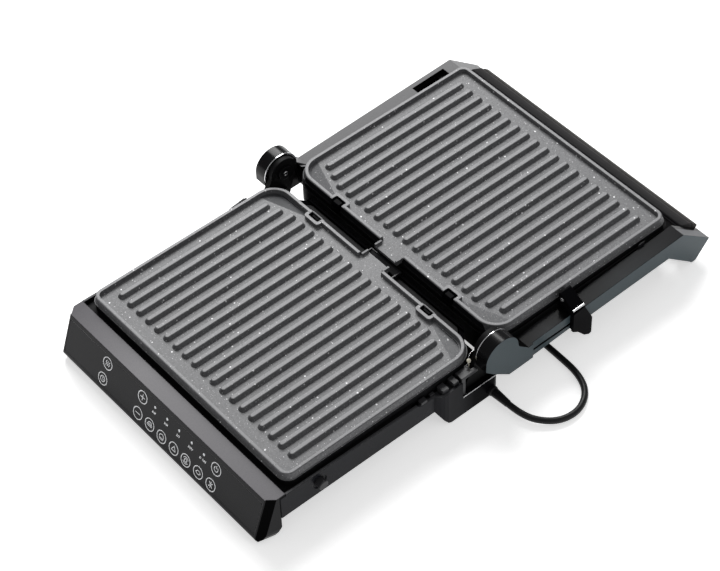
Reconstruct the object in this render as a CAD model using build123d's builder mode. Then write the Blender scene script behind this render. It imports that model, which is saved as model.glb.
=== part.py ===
from build123d import *
import math
import os

os.makedirs("parts", exist_ok=True)

# Contact grill lying open flat at 180 degrees. +X is the user's right, +Y runs back from the console
# over the lid, +Z is up, and z = 0 is the table. The hinge axis runs along X above the origin.

# ---- driving dimensions, millimetres -------------------------------------------------------------
AXIS_Z = 63.25          # hinge axis above the table
LOW_V, LOW_FOOT = 57.5, 47.0    # lower plate: cooking surface between the ribs, and foot
UP_V, UP_FOOT = 58.5, 49.0      # the same, upper plate, lid lying open
RIM_H = 4.5             # plate rim above the cooking surface
RIM_LEAN = 1.5          # inward lean of the rim's outer face over its height
LIP_DROP = 7.0          # lip on the outer wall, below the rim
PL_W = 291.4            # plate width
PL_Y0 = 10.7            # plate edge by the hinge, from the hinge axis
PL_Y1 = 237.1           # plate edge away from the hinge
NOTCH_Y = 8.9           # datum of the notches and the spout
PL_FLOOR = 3.0          # plate thickness
R_HINGE = 24.0          # plate corner radius by the hinge
R_OUTER = 11.0          # plate corner radius away from the hinge
PITCH = 14.0            # rib pitch
RIBS = 19
RIB_W = 9.0             # rib width at its foot
RIB_H = 4.0
RIB_TAPER = 31.0
SPOUT_HALF = 16.8       # half width of the drain spout
NOTCH_X = 81.0          # plate retention notches
WALL = 2.4              # moulded wall
BASE_HALF = 152.2       # base side wall
TOWER_HALF = 159.0      # hinge tower side wall
CONSOLE_HALF = 151.5
ARM_IN = 150.3          # lid arm, inner face
ARM_OUT = 167.5         # lid arm, outer face
PIN_R = 5.0             # hinge pin
PIN_CLEAR = 0.05        # radial running clearance
FLOAT_Y, FLOAT_Z = 130.0, 38.0   # pivot of the floating upper housing
FLOAT_R = 3.0
CORD_D = 6.6            # mains cord
CORD_Y, CORD_Z = -4.0, 7.6       # cord exit on the right tower


# ---- small helpers -------------------------------------------------------------------------------
def box(x0, x1, y0, y1, z0, z1, mode=Mode.ADD):
    with Locations(((x0 + x1) / 2, (y0 + y1) / 2, (z0 + z1) / 2)):
        Box(x1 - x0, y1 - y0, z1 - z0, mode=mode)


def profile(plane, pts, r=0.0):
    with BuildSketch(plane) as sk:
        with BuildLine():
            Polyline(*pts, close=True)
        make_face()
        if r:
            fillet(sk.vertices(), r)
    return sk.sketch


def disc(plane, u, v, r):
    with BuildSketch(plane) as sk:
        with Locations((u, v)):
            Circle(r)
    return sk.sketch


def prism_x(pts, x0, x1, mode=Mode.ADD, r=0.0):
    """A profile of (y, z) points carried along X."""
    extrude(profile(Plane.YZ.offset(x0), pts, r), amount=x1 - x0, dir=(1, 0, 0), mode=mode)


def prism_y(pts, y0, y1, mode=Mode.ADD, r=0.0):
    """A profile of (x, z) points carried along Y."""
    extrude(profile(Plane.XZ.offset(-y0), pts, r), amount=y1 - y0, dir=(0, 1, 0), mode=mode)


def prism_z(pts, z0, z1, mode=Mode.ADD, r=0.0):
    """A profile of (x, y) points carried along Z."""
    extrude(profile(Plane.XY.offset(z0), pts, r), amount=z1 - z0, dir=(0, 0, 1), mode=mode)


def rod_x(y, z, r, x0, x1, mode=Mode.ADD):
    extrude(disc(Plane.YZ.offset(x0), y, z, r), amount=x1 - x0, dir=(1, 0, 0), mode=mode)


def rod_y(x, z, r, y0, y1, mode=Mode.ADD):
    extrude(disc(Plane.XZ.offset(-y0), x, z, r), amount=y1 - y0, dir=(0, 1, 0), mode=mode)


def rod_z(x, y, r, z0, z1, mode=Mode.ADD):
    extrude(disc(Plane.XY.offset(z0), x, y, r), amount=z1 - z0, dir=(0, 0, 1), mode=mode)


def span(sx, a, b):
    """The stretch a..b on the right, or its mirror image on the left."""
    return (a, b) if sx > 0 else (-b, -a)


def plate_sketch(z, s, inset):
    """A plate's outline, s = -1 in front of the hinge and +1 behind it."""
    with BuildSketch(Plane.XY.offset(z)) as sk:
        with Locations((0, s * (PL_Y0 + PL_Y1) / 2)):
            Rectangle(PL_W - 2 * inset, PL_Y1 - PL_Y0 - 2 * inset)
        fillet(sk.vertices().group_by(Axis.Y)[-1 if s < 0 else 0], R_HINGE - inset)
        fillet(sk.vertices().group_by(Axis.Y)[0 if s < 0 else -1], R_OUTER - inset)
    return sk.sketch


def save(bp, name):
    bp.part.label = name
    export_step(bp.part, "parts/" + name + ".step")


# ---- cooking plates: cast, one each side of the hinge --------------------------------------------
def make_plate(s, zv, zb, name):
    zt = zv + RIM_H
    zl = zt - LIP_DROP

    def across(a, b):
        return sorted((s * (NOTCH_Y + a), s * (NOTCH_Y + b)))

    with BuildPart() as plate:
        extrude(plate_sketch(zb, s, 0.0), amount=zl - zb, dir=(0, 0, 1))
        extrude(plate_sketch(zl, s, 0.0), amount=LIP_DROP, dir=(0, 0, 1), taper=math.degrees(math.atan(RIM_LEAN / LIP_DROP)))
        fillet(plate.edges().filter_by_position(Axis.Z, zt - 0.01, zt + 0.01), 1.2)
        # a narrow lip runs round the outer wall
        extrude(plate_sketch(zl - 1.0, s, -0.8), amount=1.1, dir=(0, 0, 1))
        # the tray inside the rim, its wall drafted
        draft = 10
        extrude(plate_sketch(zv, s, RIM_LEAN + 3.3 + RIM_H * math.tan(math.radians(draft))), amount=RIM_H, taper=-draft,
                mode=Mode.SUBTRACT)
        # hollow underside for the heater
        extrude(plate_sketch(zb, s, 4.2), amount=zv - PL_FLOOR - zb, dir=(0, 0, 1), mode=Mode.SUBTRACT)
        # the rim wraps round two retention notches by the hinge
        for sx in (-1, 1):
            box(sx * NOTCH_X - 10.2, sx * NOTCH_X + 10.2, *across(3.0, 5.0), zb, zt - 0.2)
            with BuildSketch(Plane.XY.offset(zb)) as wrap:
                with Locations((sx * NOTCH_X, s * (NOTCH_Y + 7.85))):
                    RectangleRounded(20.4, 9.7, 3.0)
            extrude(wrap.sketch, amount=zt - 0.2 - zb, dir=(0, 0, 1))
        for sx in (-1, 1):
            with BuildSketch(Plane.XY.offset(zb - 1)) as slot:
                with Locations((sx * NOTCH_X, s * (NOTCH_Y + 3.0))):
                    RectangleRounded(14.0, 13.0, 1.6)
            extrude(slot.sketch, amount=zt + 2 - zb, dir=(0, 0, 1), mode=Mode.SUBTRACT)
        # drain spout through the rim
        box(-SPOUT_HALF, SPOUT_HALF, *across(-1.5, 9.0), zv, zt + 1, Mode.SUBTRACT)
        box(-14, 14, *across(-4.6, 3.4), zv - PL_FLOOR, zv)
        for sx in (-1, 1):
            box(*span(sx, 13.9, 16.0), *across(-4.6, 3.4), zv - PL_FLOOR, zv + 3.0)
        # drainage corners: the floor falls away beyond a slanting line
        for sx in (-1, 1):
            p0, p1 = Vector(sx * 83.0, s * 17.0, zv), Vector(sx * 139.0, s * 36.2, zv)
            along = (p1 - p0).normalized()
            out = Vector(along.Y, -along.X, 0) * (1 if (along.Y * sx * 139 - along.X * s * 10) > (along.Y * p0.X - along.X * p0.Y) else -1)
            fall = Plane(origin=(p0 + p1) * 0.5, x_dir=along, z_dir=Vector(0, 0, 1) + out * 0.10)
            with BuildSketch(Plane.XY.offset(zv - 2.2)) as zone:
                with BuildLine():
                    Polyline((p0.X, p0.Y), (p1.X, p1.Y), (sx * 139, s * 17.0), close=True)
                make_face()
                with Locations((0, s * (PL_Y0 + PL_Y1) / 2)):
                    RectangleRounded(PL_W - 13.8, PL_Y1 - PL_Y0 - 13.8, R_HINGE - 7.0, mode=Mode.INTERSECT)
            with BuildPart(mode=Mode.PRIVATE) as wedge:
                extrude(zone.sketch, amount=3.0, dir=(0, 0, 1))
                split(bisect_by=fall, keep=Keep.TOP)
            add(wedge.part, mode=Mode.SUBTRACT)
        # ribs
        with BuildSketch(Plane.XY.offset(zv)) as ribs:
            for i in range(RIBS):
                k = min(i, RIBS - 1 - i)
                y0 = (36.0, 31.0)[k] if k < 2 else 26.5
                with Locations(((i - 9) * PITCH, s * (y0 + 218.0) / 2)):
                    SlotOverall(218.0 - y0, RIB_W, rotation=90)
        extrude(ribs.sketch, amount=RIB_H, taper=RIB_TAPER)
        fillet(plate.edges().filter_by_position(Axis.Z, zv + RIB_H - 0.01, zv + RIB_H + 0.01), 1.2)
    save(plate, name)
    return plate


lower_plate = make_plate(-1, LOW_V, LOW_FOOT, "lower_plate")
upper_plate = make_plate(1, UP_V, UP_FOOT, "upper_plate")

# ---- base housing: tub, side walls and the two hinge towers --------------------------------------
with BuildPart() as base_housing:
    # right half, then mirrored
    bulge = [(BASE_HALF, -69), (154.6, -67.8), (157.0, -65.0), (158.4, -61.5), (TOWER_HALF, -57.5), (TOWER_HALF, -1), (157.5, 2.6), (154, 4)]
    prism_z([(0, -249), (BASE_HALF, -249)] + bulge + [(0, 4)], 22, 54)
    prism_z([(100, -69)] + bulge + [(100, 4)], 1.2, 22)
    # front slope of the tower's foot
    prism_x([(-90, 22), (-69, 22), (-62, 9), (-57.5, 3), (-54, 1.2), (-54, 0), (-90, 0)], 90, 162, Mode.SUBTRACT)
    # sloping top edge of the side wall, the rack cheek and the notch under the hub
    prism_x([(-260, 51.4), (-249, 51.2), (-89, 46.7), (-86, 43.7), (-70, 43.4), (-58, 44.8), (-42, 46.8), (-42, 70), (-260, 70)],
            -1, 162, Mode.SUBTRACT)
    box(144, 162, -40, 5, 25, 60, Mode.SUBTRACT)
    box(-1, 162, -42.1, 5, 49, 60, Mode.SUBTRACT)
    box(141, 162, -42.6, 5, 45.6, 60, Mode.SUBTRACT)
    # inside of the tub
    prism_z([(-1, -246.6), (149.8, -246.6), (149.8, -67.6), (152.8, -66.0), (154.9, -63.7), (156.1, -60.7), (156.6, -57.2), (156.6, -42.4),
             (141.6, -42.4), (141.6, 1.6), (-1, 1.6)], 24.5, 60, Mode.SUBTRACT)
    # the tub's rear corner is cut across behind the plate
    prism_z([(107, 1.7), (141.7, 1.7), (141.7, -27)], 24.4, 46.7)
    prism_z([(110, 5), (146, 5), (146, -24.8)], 28, 60, Mode.SUBTRACT)
    # inside of the tower
    box(102.4, 156.6, -52, 1.6, 3.6, 22.6, Mode.SUBTRACT)
    box(102.4, 141.6, -52, 1.6, 22, 25, Mode.SUBTRACT)
    box(102.4, 152.0, -61, -50, 14, 25, Mode.SUBTRACT)
    # runners for the drip tray
    box(73.6, 76.2, -62, 3, 7.8, 22.2)
    box(71.4, 74, -62, 3, 7.8, 9.4)
    # screw holes
    for x, y in ((138, -232), (138, -100)):
        rod_z(x, y, 1.8, 20, 26, Mode.SUBTRACT)
    # seat for the console's top edge, and a dip behind the drain
    box(-1, 162, -260, -242.8, 49.0, 60, Mode.SUBTRACT)
    box(-1, 22.2, 1, 5, 46.4, 60, Mode.SUBTRACT)
    mirror(about=Plane.YZ)
    # drain opening and floor vents
    box(-22, 22, -11.4, 0.6, 20, 26, Mode.SUBTRACT)
    with BuildSketch(Plane.XY.offset(21)):
        with GridLocations(12, 0, 11, 1):
            with Locations((0, -150)):
                SlotOverall(46, 4, rotation=90)
    extrude(amount=5, mode=Mode.SUBTRACT)
    # cord hole in the right tower, plate release hole in the right wall
    rod_x(CORD_Y, CORD_Z, 4.9, 155, 161, Mode.SUBTRACT)
    rod_x(-205, 37, 5.4, 146, 156, Mode.SUBTRACT)
    rod_x(-205, 37, 8.0, 151.2, 156, Mode.SUBTRACT)
save(base_housing, "base_housing")

# ---- rubber feet ---------------------------------------------------------------------------------
with BuildPart() as rubber_feet:
    for x in (-128, 128):
        rod_z(x, -263.8, 5.5, 0, 1.2)
        rod_z(x, -28, 8, 0, 1.2)
save(rubber_feet, "rubber_feet")

# ---- front console -------------------------------------------------------------------------------
FACE_TOP = (-261.0, 51.6)
FACE_BOT = (-276.5, 8.0)
face_angle = math.atan2(FACE_TOP[0] - FACE_BOT[0], FACE_TOP[1] - FACE_BOT[1])
cosf, sinf = math.cos(face_angle), math.sin(face_angle)
FACE = Plane(origin=(0, (FACE_TOP[0] + FACE_BOT[0]) / 2, (FACE_TOP[1] + FACE_BOT[1]) / 2),
             x_dir=(1, 0, 0), z_dir=(0, -cosf, sinf))
with BuildPart() as console_shell:
    with BuildSketch(Plane.YZ.offset(-CONSOLE_HALF)) as prof:
        with BuildLine():
            Polyline((-243, 51.6), FACE_TOP, FACE_BOT, (-272, 1.2), (-256, 1.2), (-249.2, 9), (-249.2, 49.1),
                     (-245.6, 49.1), (-243, 50.2), close=True)
        make_face()
        fillet(prof.vertices().group_by(Axis.Y)[0], 3.0)
        fillet(prof.vertices().sort_by(Axis.X)[0], 5.0)
    extrude(amount=2 * CONSOLE_HALF)
    # bevelled front corners
    for sx in (-1, 1):
        with BuildSketch(Plane.XY.offset(-1)):
            with BuildLine():
                Polyline((sx * (CONSOLE_HALF - 6), -290), (sx * (CONSOLE_HALF - 6), -278.5), (sx * CONSOLE_HALF, -271.5),
                         (sx * (CONSOLE_HALF + 3), -271.5), (sx * (CONSOLE_HALF + 3), -290), close=True)
            make_face()
        extrude(amount=80, mode=Mode.SUBTRACT, dir=(0, (FACE_TOP[0] - FACE_BOT[0]) / (FACE_TOP[1] - FACE_BOT[1]), 1))
    # rounded lower corners
    for sx in (-1, 1):
        with BuildSketch(FACE.offset(12)):
            with BuildLine():
                Polyline((sx * (CONSOLE_HALF - 11), -34), (sx * (CONSOLE_HALF - 11), -28.5), (sx * (CONSOLE_HALF - 7.2), -27.8),
                         (sx * (CONSOLE_HALF - 4.0), -25.7), (sx * (CONSOLE_HALF - 1.6), -22.6), (sx * (CONSOLE_HALF - 0.3), -18.8),
                         (sx * (CONSOLE_HALF + 0.1), -14.0), (sx * (CONSOLE_HALF + 4), -14.0), (sx * (CONSOLE_HALF + 4), -34), close=True)
            make_face()
        extrude(amount=-50, mode=Mode.SUBTRACT)
    # hollow inside
    with BuildSketch(Plane.YZ.offset(-CONSOLE_HALF + 8.5)):
        with BuildLine():
            Polyline((-251.6, 49.0), (-258.6, 49.0), (-273.2, 8.4), (-270.5, 4.0), (-257.5, 4.0), (-251.6, 10.5), close=True)
        make_face()
    extrude(amount=2 * (CONSOLE_HALF - 8.5), mode=Mode.SUBTRACT)
    # recess for the touch glass, and a window behind it
    with BuildSketch(FACE):
        Rectangle(287, 36)
    extrude(amount=-1.6, mode=Mode.SUBTRACT)
    with BuildSketch(FACE):
        Rectangle(270, 26)
    extrude(amount=-6, mode=Mode.SUBTRACT)
    # wiring slot to the base
    box(-30, 30, -252, -248, 30, 40, Mode.SUBTRACT)
save(console_shell, "console_shell")

with BuildPart() as touch_glass:
    with BuildSketch(FACE.offset(-1.6)):
        RectangleRounded(286.6, 35.6, 2.0)
    extrude(amount=1.6)
save(touch_glass, "touch_glass")

with BuildPart() as touch_board:
    with BuildSketch(FACE.offset(-4.9)):
        Rectangle(264, 24)
    extrude(amount=1.6)
save(touch_board, "touch_board")

with BuildPart() as indicator_leds:
    with BuildSketch(FACE.offset(-3.3)):
        with Locations((-22, 3.5), (-9, 3.5), (4, 3.5), (17, 3.5), (30, 3.5)):
            Circle(1.5)
    extrude(amount=1.5)
save(indicator_leds, "indicator_leds")

# ---- frame under the lower plate -----------------------------------------------------------------
with BuildPart() as base_top_frame:
    prism_z([(-149.4, -246.2), (149.4, -246.2), (149.4, -97), (146.0, -91), (146.0, -43.0), (141.2, -43.0), (141.2, -27.8), (105.6, 1.2),
             (-105.6, 1.2), (-141.2, -27.8), (-141.2, -43.0), (-146.0, -43.0), (-146.0, -91), (-149.4, -97)], 43.9, 46.7)
    with BuildSketch(Plane.XY.offset(43)):
        with Locations((0, -126)):
            RectangleRounded(256, 196, 12)
    extrude(amount=5, mode=Mode.SUBTRACT)
    box(-22, 22, -11.4, 2, 43, 48, Mode.SUBTRACT)
    box(134.4, 141.1, -208, -202, 43, 48, Mode.SUBTRACT)
    for x, y in ((138, -232), (138, -100), (95, -26), (-138, -232), (-138, -100), (-95, -26)):
        if y == -26:
            rod_z(x, -18, 4.0, 24.5, 44.0)
        else:
            rod_z(x, y, 4.0, 24.5, 44.0)
            rod_z(x, y, 1.6, 20, 40, Mode.SUBTRACT)
save(base_top_frame, "base_top_frame")

with BuildPart() as base_screws:
    for x, y in ((138, -232), (138, -100), (-138, -232), (-138, -100)):
        rod_z(x, y, 1.5, 21.9, 36)
        rod_z(x, y, 3.2, 20.2, 22)
        with Locations((x, y, 20.2)):
            Box(3.4, 0.7, 1.2, mode=Mode.SUBTRACT)
            Box(0.7, 3.4, 1.2, mode=Mode.SUBTRACT)
save(base_screws, "base_screws")

# hooks that stand in the plate's notches
with BuildPart() as lower_hooks:
    for sx in (-1, 1):
        x = sx * NOTCH_X
        box(x - 6.2, x + 6.2, -17.0, -7.2, 46.7, 52.0)
        box(x - 4.8, x + 4.8, -16.6, -10.4, 51.0, 59.2)
        with BuildSketch(Plane.XY.offset(59.2)):
            with Locations((x, -13.5)):
                Rectangle(9.6, 6.2)
        extrude(amount=1.2, taper=30)
save(lower_hooks, "lower_hooks")

# ---- heating parts, lower ------------------------------------------------------------------------
def make_reflector(s, dz, name):
    """An aluminised pan with a flange that lies on the frame."""
    yc = s * 126.0
    with BuildPart() as pan:
        with BuildSketch(Plane.XY.offset(30 + dz)):
            with Locations((0, yc)):
                RectangleRounded(252, 192, 11)
        extrude(amount=16.7)
        with BuildSketch(Plane.XY.offset(31 + dz)):
            with Locations((0, yc)):
                RectangleRounded(250, 190, 10)
        extrude(amount=20, mode=Mode.SUBTRACT)
        with BuildSketch(Plane.XY.offset(46.7 + dz)):
            with Locations((0, yc)):
                RectangleRounded(264, 204, 15)
                RectangleRounded(250, 190, 10, mode=Mode.SUBTRACT)
        extrude(amount=1.0)
        # pressed stiffening beads in the floor
        with BuildSketch(Plane.XY.offset(31 + dz)):
            with Locations((-70, yc), (70, yc)):
                SlotOverall(150, 10, rotation=90)
        extrude(amount=1.2)
        # hole for the sensor
        rod_z(0, yc, 8, 29 + dz, 33 + dz, Mode.SUBTRACT)
    save(pan, name)
    return pan


def make_heater(s, dz, name):
    """A tubular element bent into a flat loop, its cold ends turned down by the hinge."""
    z = 50.85 + dz
    r = 3.3
    q = lambda x, y: (x, s * y, z)
    pts = [q(-14, 50), q(-14, 100), q(-52, 100), q(-52, 55), q(-98, 55), q(-98, 196), q(-34, 196), q(-34, 150),
           q(34, 150), q(34, 196), q(98, 196), q(98, 55), q(52, 55), q(52, 100), q(14, 100), q(14, 50)]
    with BuildPart() as heater:
        with BuildLine() as path:
            FilletPolyline(*pts, radius=14)
        with BuildSketch(Plane(origin=pts[0], z_dir=(0, s, 0))):
            Circle(r)
        sweep(path=path.line)
        # terminal pins at the cold ends
        for x in (-14, 14):
            a, b = sorted((s * 42.0, s * 50.0))
            rod_y(x, z, 1.2, a, b)
    save(heater, name)
    return heater


lower_reflector = make_reflector(-1, 0.0, "lower_reflector")
lower_heater = make_heater(-1, 0.0, "lower_heater")

with BuildPart() as lower_heater_clips:
    for x, y in ((-98, -126), (98, -126), (0, -150)):
        if x:
            box(x - 5, x + 5, y - 6, y + 6, 31.0, 32.0)
            box(x - 0.8, x + 0.8, y - 6, y + 6, 31.9, 47.4)
        else:
            box(x - 6, x + 6, y - 5, y + 5, 31.0, 32.0)
            box(x - 6, x + 6, y - 0.8, y + 0.8, 31.9, 47.4)
save(lower_heater_clips, "lower_heater_clips")

with BuildPart() as lower_sensor:
    rod_z(0, -126, 6.5, 24.5, 46)
    rod_z(0, -126, 5.0, 46, 54.1)
save(lower_sensor, "lower_sensor")

with BuildPart() as thermal_fuse:
    rod_x(-80, 34.1, 3.0, -10, 10)
    rod_x(-80, 34.1, 0.6, -22, 22)
save(thermal_fuse, "thermal_fuse")

with BuildPart() as power_board:
    box(40, 120, -92, -54, 25.9, 27.5)
    for x, y in ((44, -88), (116, -88), (44, -58), (116, -58)):
        rod_z(x, y, 2.5, 24.5, 26)
save(power_board, "power_board")

with BuildPart() as power_board_parts:
    pass_h = 1.9
    box(48, 64, -86, -72, 27.5, 29.4)
    box(70, 76, -86, -74, 27.5, 29.2)
    box(84, 98, -86, -76, 27.5, 29.4)
    box(104, 112, -84, -70, 27.5, 29.4)
save(power_board_parts, "power_board_parts")

with BuildPart() as terminal_block:
    box(108, 134, -40, -24, 3.6, 15)
    for y in (-37, -32, -27):
        rod_z(115, y, 1.6, 11, 16, Mode.SUBTRACT)
        rod_z(127, y, 1.6, 11, 16, Mode.SUBTRACT)
save(terminal_block, "terminal_block")

# ---- drain chute and drip tray -------------------------------------------------------------------
with BuildPart() as drain_chute:
    box(-21.6, 21.6, -11.0, 0.4, 14.0, 46.8)
    prism_x([(-7.6, 46.0), (-7.6, 51.2), (5.4, 51.2), (5.4, 49.4), (0.4, 46.8), (0.4, 46.0)], -21.6, 21.6)
    box(-20.2, 20.2, -9.6, -1.0, 13, 45.6, Mode.SUBTRACT)
    prism_x([(-6.2, 45.5), (-6.2, 52), (4.2, 52), (4.2, 50.2), (-1.0, 47.6), (-1.0, 45.5)], -20.2, 20.2, Mode.SUBTRACT)
save(drain_chute, "drain_chute")

with BuildPart() as drip_tray:
    with BuildSketch(Plane.XY.offset(2.2)):
        with Locations((0, -29)):
            RectangleRounded(140, 62, 6)
    extrude(amount=9.2)
    box(-73, 73, -58, 0, 9.9, 11.4)
    with BuildSketch(Plane.XY.offset(3.7)):
        with Locations((0, -29)):
            RectangleRounded(137, 59, 4.5)
    extrude(amount=20, mode=Mode.SUBTRACT)
    # finger pull at the back
    box(-18, 18, 1.5, 3.9, 4.0, 11.4)
save(drip_tray, "drip_tray")

# ---- plate release on the base -------------------------------------------------------------------
with BuildPart() as lower_release_button:
    rod_x(-205, 37, 5.0, 147.6, 158.4)
    fillet(lower_release_button.edges().filter_by_position(Axis.X, 158.3, 158.5), 1.0)
    rod_x(-205, 37, 6.6, 146.2, 147.8)
    rod_x(-205, 37, 2.0, 136.5, 146.4)
    # tooth that stands up beside the plate's foot, short of it by a working gap
    box(138.4, 140.0, -206.5, -203.5, 37.0, 48.0)
save(lower_release_button, "lower_release_button")


def make_spring(plane, r_out, wire, turns, length):
    coil = plane * Helix(pitch=(length - wire) / turns, height=length - wire, radius=r_out - wire / 2)
    with BuildPart() as spring:
        with BuildSketch(Plane(origin=coil @ 0, z_dir=coil % 0)) as wire_sk:
            Circle(wire / 2)
        sweep(wire_sk.sketch, path=coil, is_frenet=True)
    return spring


lower_release_spring = make_spring(Plane(origin=(141.6, -205, 37), z_dir=(1, 0, 0)), 3.2, 0.7, 4, 4.9)
save(lower_release_spring, "lower_release_spring")

with BuildPart() as lower_release_guide:
    # bracket behind the spring, with a pocket that the spring sinks into
    box(135.6, 141.2, -211, -199, 24.5, 43.4)
    rod_x(-205, 37, 3.6, 137.2, 142, Mode.SUBTRACT)
    box(134.9, 141.4, -207.0, -203.0, 36.6, 44, Mode.SUBTRACT)
    rod_x(-205, 37, 2.4, 134, 142, Mode.SUBTRACT)
save(lower_release_guide, "lower_release_guide")

# ---- hinge posts, pins and rings -----------------------------------------------------------------
def make_post(sx, name):
    with BuildPart() as post:
        x0, x1 = span(sx, 147.0, 152.6)
        prism_x([(-34, 25.0), (3.6, 25.0), (15.9, 62), (-15.9, 62)], x0, x1)
        rod_x(0, AXIS_Z, 16.0, x0, x1)
        rod_x(0, AXIS_Z, PIN_R + PIN_CLEAR, x0 - 1, x1 + 1, Mode.SUBTRACT)
        # web to the inner wall of the tower
        a, b = span(sx, 144.0, 147.2)
        box(a, b, -30, -26, 25.0, 44)
        box(a, b, -4, 0, 25.0, 44)
    save(post, name)
    return post


hinge_post_right = make_post(1, "hinge_post_right")
hinge_post_left = make_post(-1, "hinge_post_left")


def make_pin(sx, name):
    with BuildPart() as pin:
        rod_x(0, AXIS_Z, PIN_R, *span(sx, 146.0, 165.0))
        rod_x(0, AXIS_Z, 8.0, *span(sx, 144.6, 146.7))
        # socket with a small centre stud
        rod_x(0, AXIS_Z, 2.4, *span(sx, 144.0, 146.0), mode=Mode.SUBTRACT)
        rod_x(0, AXIS_Z, 1.0, *span(sx, 144.9, 146.5))
    save(pin, name)
    return pin


hinge_pin_right = make_pin(1, "hinge_pin_right")
hinge_pin_left = make_pin(-1, "hinge_pin_left")

HEAD_C = (0.5, 61.0)     # centre of the hub's round outline
HEAD_R = 20.0


def make_ring(sx, name):
    with BuildPart() as ring:
        a, b = span(sx, 153.0, 153.8)
        rod_x(HEAD_C[0], HEAD_C[1], HEAD_R, a, b)
        rod_x(HEAD_C[0], HEAD_C[1], HEAD_R - 1.6, a - 1, b + 1, Mode.SUBTRACT)
    save(ring, name)
    return ring


hub_ring_right = make_ring(1, "hub_ring_right")
hub_ring_left = make_ring(-1, "hub_ring_left")

# ---- height rack and its parts -------------------------------------------------------------------
with BuildPart() as height_rack:
    prism_x([(-85, 30), (-85, 41.6), (-61.5, 41.6), (-61.5, 48.4), (-54.5, 48.4), (-54.5, 42.6), (-49, 42.6),
             (-49, 49.6), (-43.0, 49.6), (-43.0, 30)], 147.0, 158.0)
    box(148.6, 158, -83, -45, 29, 39, Mode.SUBTRACT)
    box(147.0, 148.6, -85, -43, 24.5, 31)
    prism_z([(146, -85), (149.6, -85), (149.6, -67.4), (152.6, -65.8), (154.6, -63.5), (155.8, -60.5), (156.2, -57), (156.2, -43), (146, -43)],
            20, 60, Mode.INTERSECT)
    # three slots and a tooth that laps over the side wall
    box(147.0, 149.6, -84.5, -77.5, 41.0, 47.0)
    box(147.0, 152.1, -84.5, -77.5, 43.9, 47.0)
    box(147.0, 149.6, -71.5, -66.5, 41.0, 45.6)
save(height_rack, "height_rack")

with BuildPart() as rack_shelf:
    box(147.0, 156.8, -39.7, -35.0, 25.0, 46.5)
    box(147.0, 156.8, -39.7, -25.2, 46.2, 49.4)
    box(152.9, 156.8, -39.7, -20.0, 46.2, 49.4)
save(rack_shelf, "rack_shelf")

with BuildPart() as ceramic_bead:
    with Locations((148.2, -23.5, 55.6)):
        Sphere(2.1)
    rod_z(148.2, -23.5, 0.6, 47.75, 54.0)
save(ceramic_bead, "ceramic_bead")

# ---- lid arms ------------------------------------------------------------------------------------
ARM_TOP = [(34, 46.0), (105, 48.5), (237, 53.0)]


def arm_top(y):
    pts = ARM_TOP
    for (y0, z0), (y1, z1) in zip(pts, pts[1:]):
        if y <= y1:
            return z0 + (z1 - z0) * (y - y0) / (y1 - y0)
    return pts[-1][1]


def arm_under(y):
    return 27.0 + (y - 40) * 0.046 if y < 105 else 30.0 + (y - 105) * 0.0219


def cavity(a, b, wall):
    return [(a, arm_under(a) + wall), (b, arm_under(b) + wall), (b, arm_top(b) - wall), (a, arm_top(a) - wall)]


def make_arm(sx, name):
    with BuildPart() as arm:
        # beam and kinked end, which is the back foot when the lid lies open
        prism_x([(24, 26.7), (40, 27.0), (105, 30.0), (219, 32.5), (254.4, 2.0), (258.9, 2.0), (276.0, 21.5), (237, 53.0), (105, 48.5), (34, 46.0), (24, 52.0)],
                *span(sx, ARM_IN, ARM_OUT))
        # hub: round over the axis, cut straight in front and below
        with BuildSketch(Plane.YZ.offset(span(sx, 153.8, ARM_OUT)[0])):
            with BuildLine():
                Polyline((-19.5, 61), (-19.5, 52), (-10, 42.6), (10, 26.5), (26, 26.7), (34, 46.0), (21.5, 57.5), (20.5, 61), close=True)
            make_face()
            with Locations(HEAD_C):
                Circle(HEAD_R)
        extrude(amount=ARM_OUT - 153.8)
        # a lightening ring of material inside the chrome ring
        rod_x(HEAD_C[0], HEAD_C[1], HEAD_R - 1.65, *span(sx, 153.1, 154.0))
        rod_x(0, AXIS_Z, PIN_R, *span(sx, 150, 165.0), mode=Mode.SUBTRACT)
        # inner cavities either side of the float pivot
        for a, b in ((44, 121), (139, 214)):
            prism_x(cavity(a, b, 3.0), *span(sx, 150.0, 161.5), mode=Mode.SUBTRACT)
        # bore for the float pin
        rod_x(FLOAT_Y, FLOAT_Z, FLOAT_R, *span(sx, 149, 160), mode=Mode.SUBTRACT)
        if sx > 0:
            # sliding track on the outer face
            box(165.7, 168, 40, 105, 20, 60, Mode.SUBTRACT)
            box(163.7, 166, 42, 105, 34.0, 37.0, Mode.SUBTRACT)
        else:
            # slot in the top face
            box(-162.2, -152.2, 181, 223, 46.6, 60, Mode.SUBTRACT)
    save(arm, name)
    return arm


arm_right = make_arm(1, "arm_right")
arm_left = make_arm(-1, "arm_left")

with BuildPart() as arm_covers:
    for sx in (-1, 1):
        for a, b in ((44.2, 120.8), (139.2, 213.8)):
            prism_x(cavity(a, b, 3.2), *span(sx, 150.5, 152.0))
save(arm_covers, "arm_covers")

with BuildPart() as float_pins:
    for sx in (-1, 1):
        a, b = span(sx, 142.0, 159.0)
        rod_x(FLOAT_Y, FLOAT_Z, FLOAT_R, a, b)
save(float_pins, "float_pins")

with BuildPart() as handle_bar:
    prism_x([(249.5, 41.0), (274.2, 21.2), (258.0, 3.2), (249.5, 9.6)], -ARM_IN, ARM_IN, r=1.2)
    prism_x([(252.0, 35.6), (270.6, 21.0), (257.8, 6.9), (252.0, 11.2)], -151.0, 151.0, Mode.SUBTRACT)
save(handle_bar, "handle_bar")

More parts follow.
